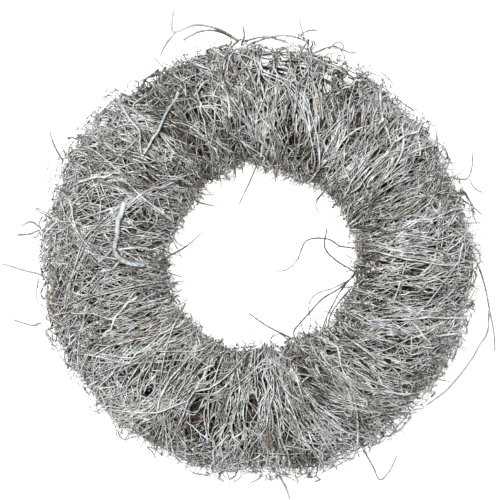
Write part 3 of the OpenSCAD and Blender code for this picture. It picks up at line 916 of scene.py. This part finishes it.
# Routes in millimetres, close to the CAD model's, with five finer twigs more at the back:
# (points, thickness at the butt, thickness at the tip)
STRAYS = {
    "stray_twigs_back_left": [
        ([(-15, 199, 40), (-32, 209, 44), (-54, 213, 46), (-74, 207, 44), (-75, 220, 42), (-73, 230, 41)],
         1.8, 0.8),
        ([(-74, 207, 44), (-82, 198, 42), (-88, 188, 40)], 1.2, 0.9),
        ([(-176, 92, 34), (-184, 106, 36), (-187, 118, 37)], 1.2, 0.7)],
    "stray_twigs_back": [
        ([(-66, 203, 36), (-50, 211, 38), (-36, 211, 38), (-20, 202, 36)], 1.4, 0.9),
        ([(-13, 196, 42), (-11, 206, 41), (-10, 215, 40)], 1.4, 0.8),
        ([(-8, 199, 36), (12, 205, 37), (30, 206, 36), (46, 200, 35)], 1.3, 0.8),
        ([(38, 203, 40), (47, 211, 41), (56, 209, 41)], 1.1, 0.8),
        ([(66, 196, 34), (74, 201, 35), (80, 197, 35), (78, 191, 34)], 1.1, 0.7),
        ([(-11, 201, 30), (8, 205, 32), (31, 200, 30)], 1.2, 0.8),
        ([(47, 194, 38), (43, 206, 40), (39, 221, 42)], 1.3, 0.7),
        ([(52, 192, 26), (70, 198, 28), (84, 193, 27), (93, 192, 26)], 1.2, 0.8)],
    "stray_twigs_right": [
        ([(180, 76, 40), (193, 76, 42), (197, 88, 44), (196, 99, 45)], 1.2, 0.7),
        ([(193, 76, 42), (198, 66, 41), (206, 63, 40)], 1.1, 0.7),
        ([(188, 56, 30), (198, 50, 31), (205, 43, 32)], 1.2, 0.7),
        ([(198, 8, 36), (206, -18, 40), (211, -44, 42), (215, -64, 41), (216, -81, 40)], 1.4, 0.8)],
    "stray_twigs_front_right": [
        ([(211, -44, 42), (207, -72, 38), (196, -91, 35), (175, -116, 33), (154, -130, 32)], 1.3, 0.9),
        ([(98, -172, 26), (106, -189, 28), (112, -200, 30), (122, -190, 31), (129, -177, 30)], 1.2, 0.8)],
    "stray_twigs_front": [
        ([(-31, -188, 30), (-33, -200, 31)], 1.1, 0.8),
        ([(12, -196, 22), (14, -203, 20)], 1.1, 0.8),
        ([(20, -194, 36), (26, -207, 38), (29, -218, 38)], 1.3, 0.8)],
    "stray_twigs_left": [
        ([(-196, 32, 30), (-206, 37, 32), (-216, 33, 34)], 1.2, 0.8),
        ([(-198, 28, 24), (-209, 26, 24), (-221, 24, 25)], 1.2, 0.8),
        ([(-196, -14, 34), (-205, -10, 36), (-219, -6, 37), (-233, -3, 38)], 1.4, 0.7),
        ([(-198, -57, 30), (-208, -58, 30), (-223, -52, 31)], 1.3, 0.7)],
}
# Fine stray ends that reach into the hole, listed in the same way
HOLE_STRAYS = [
    ([(93, 13, 36), (87, 12, 38), (76, 14, 40), (63, 22, 42), (47, 20, 42), (38, 3, 41), (26, -8, 40),
      (14, -10, 39)], 1.8, 1.1),
    ([(64, 29, 44), (62, 12, 43), (72, 0, 42), (86, -8, 40), (93, -12, 38)], 1.5, 1.6),
    ([(-7, -47, 40), (10, -58, 41), (31, -70, 40), (48, -80, 38)], 1.3, 1.8),
    ([(7, 104, 40), (3, 92, 42), (-4, 74, 43), (-10, 62, 42), (-15, 52, 41)], 1.7, 1.2),
    ([(-72, 65, 36), (-62, 60, 38), (-50, 54, 40), (-35, 49, 41)], 1.6, 1.1),
    ([(92, -4, 36), (87, -12, 37), (74, -24, 38), (60, -33, 38), (48, -44, 38), (38, -58, 38),
      (35, -65, 37), (38, -74, 36), (43, -84, 35)], 1.9, 1.5),
    ([(-92, 0, 37), (-81, 4, 39), (-72, 8, 40), (-61, 15, 41), (-47, 27, 41)], 1.7, 1.1),
    ([(52, -72, 34), (44, -64, 35), (40, -52, 36)], 1.3, 0.9),
    ([(20, -86, 30), (12, -74, 33), (16, -64, 35)], 1.3, 0.9),
    ([(94, -10, 35), (86, -16, 36), (70, -24, 38), (56, -28, 39), (48, -35, 40), (47, -44, 40),
      (50, -56, 38), (48, -66, 37), (52, -76, 35)], 1.2, 0.9),
    ([(96, -14, 38), (90, -21, 39), (76, -37, 40), (67, -49, 40), (65, -60, 38), (68, -72, 36)], 1.6, 1.2),
    ([(92, -10, 31), (83, -19, 32), (76, -28, 33), (69, -42, 34), (63, -54, 34), (58, -70, 33)], 1.5, 1.2),
    ([(96, -22, 42), (88, -30, 43), (80, -44, 43), (78, -56, 42), (84, -68, 41)], 1.6, 1.2),
    ([(28, -84, 36), (30, -74, 38), (22, -66, 38), (14, -70, 37)], 1.3, 0.9),
    ([(-84, -20, 36), (-74, -28, 37), (-66, -24, 37)], 1.3, 0.9),
    ([(70, 73, 34), (60, 62, 36), (54, 52, 37), (58, 44, 37)], 1.4, 0.9),
]
BUTT_SWELL, TIP_SWELL = 1.55, 2.1  # STRAYS are made this many times as thick, to show from the camera
STRAY_LOOKS = (0.8, 0.6, 0.15)  # wash, light and warm
HOLE_STRAY_LOOKS = (0.65, 0.5, 0.2)


def stray_twigs(name, seed, routes, looks, *nodes):
    """A piece of bare twigs along routes."""
    rng = np.random.default_rng(seed)
    mesh = TwigMesh()
    for route in routes:
        limb(mesh, rng, route, looks)
    hand_over(mesh.build(name, stray_look), "stray_twigs", *nodes)


for seed, (node, routes) in enumerate(STRAYS.items(), 60):
    swollen = [(points, butt * BUTT_SWELL, tip * TIP_SWELL) for points, butt, tip in routes]
    stray_twigs("fine_" + node, seed, swollen, STRAY_LOOKS, node)
stray_twigs("stray_twigs_in_hole", 77, HOLE_STRAYS, HOLE_STRAY_LOOKS)

BRANCH_SINK = 3.4  # the branches' middle lines lie this far below the forked branch's highest point
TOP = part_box("forked_branch")[1].z / MM - BRANCH_SINK


def pale_branch(name, node, seed, routes):
    """A branch with thick wash all round and a few small side twigs."""
    rng = np.random.default_rng(seed)
    mesh = TwigMesh(thickly_washed=True)
    for route in routes:
        path = limb(mesh, rng, route, (0.8, 0.75, 0.0), sides=10, wobble=0.6, every=1.4)
        twiglets(mesh, rng, path, 3)
    hand_over(mesh.build(name, pale_look), "pale_twigs", node)


pale_branch("thick_forked_branch", "forked_branch", 91, [
    ([(-118, 53, TOP - 2.5), (-122, 38, TOP - 0.3), (-124, 26, TOP), (-126, 9, TOP), (-116, -1, TOP - 0.3),
      (-99, -3, TOP - 2)], 4.8, 5),
    ([(-125, 15, TOP), (-134, 6, TOP - 0.5), (-141, -2, TOP - 2)], 3.2, 2)])
pale_branch("straight_pale_branch", "straight_pale_twig", 92, [
    ([(-68, 152, TOP - 7), (-84, 124, TOP + 1), (-100, 96, TOP + 1)], 3, 2)])
pale_branch("bent_pale_branch", "bent_pale_twig", 93, [
    ([(-122, 140, TOP - 13), (-106, 118, TOP + 1), (-104, 112, TOP + 1), (-102, 98, TOP + 1)], 2.4, 1.6)])

# ---------------------------------------------------------------- wires carried over from the CAD
frame_wire = wire_material("galvanised_wire", (0.2, 0.2, 0.19), (0.12, 0.12, 0.11), (0.14, 0.06, 0.03))
binding = wire_material("brown_binding_wire", (0.07, 0.045, 0.03), (0.045, 0.03, 0.022), (0.12, 0.06, 0.03))
for node, obj in frame["nodes"].items():
    if node.endswith(("ring_wire", "rib_wires", "binding_wire")):
        obj.data.materials.clear()
        obj.data.materials.append(binding if node == "binding_wire" else frame_wire)

# ---------------------------------------------------------------- studio
LIT_POINT = Vector((0, 0, 0.03))
bpy.ops.mesh.primitive_plane_add(size=8, location=(0, 0, -0.3 * MM))
floor = bpy.context.object
floor.name = "studio_floor"
floor.data.materials.append(floor_material())


def soft_light(name, place, size, power):
    """A round lamp that shines on the wreath's middle."""
    data = bpy.data.lights.new(name, "AREA")
    data.shape = "DISK"
    data.size = size
    data.energy = power
    light = bpy.data.objects.new(name, data)
    light.location = place
    light.rotation_euler = (LIT_POINT - Vector(place)).to_track_quat("-Z", "Y").to_euler()
    bpy.context.collection.objects.link(light)


soft_light("key_light", (-0.5, 0.42, 1.8), 0.35, 43)
soft_light("fill_light", (0.9, -0.6, 1.4), 1.0, 7)
world = bpy.data.worlds.new("studio")
world.use_nodes = True
world.node_tree.nodes["Background"].inputs["Color"].default_value = (1, 1, 1, 1)
world.node_tree.nodes["Background"].inputs["Strength"].default_value = 0.22
bpy.context.scene.world = world
bpy.context.scene.view_settings.view_transform = "Standard"

# The camera looks straight down from a long way off; its frame is this wide at the wreath's middle height
VIEW_WIDTH = 457.5 * MM
VIEW_SHIFT = Vector((2.7, 4.6)) * MM  # from the middle of the CAD model to the middle of the frame
LENS, SENSOR_WIDTH = 100, 36
camera_data = bpy.data.cameras.new("camera")
camera_data.lens = LENS
camera_data.sensor_width = SENSOR_WIDTH
camera = bpy.data.objects.new("camera", camera_data)
centre = (cad_low.xy + cad_high.xy) / 2 + VIEW_SHIFT
camera.location = (*centre, MID_Z + VIEW_WIDTH * LENS / SENSOR_WIDTH)
bpy.context.collection.objects.link(camera)
bpy.context.scene.camera = camera
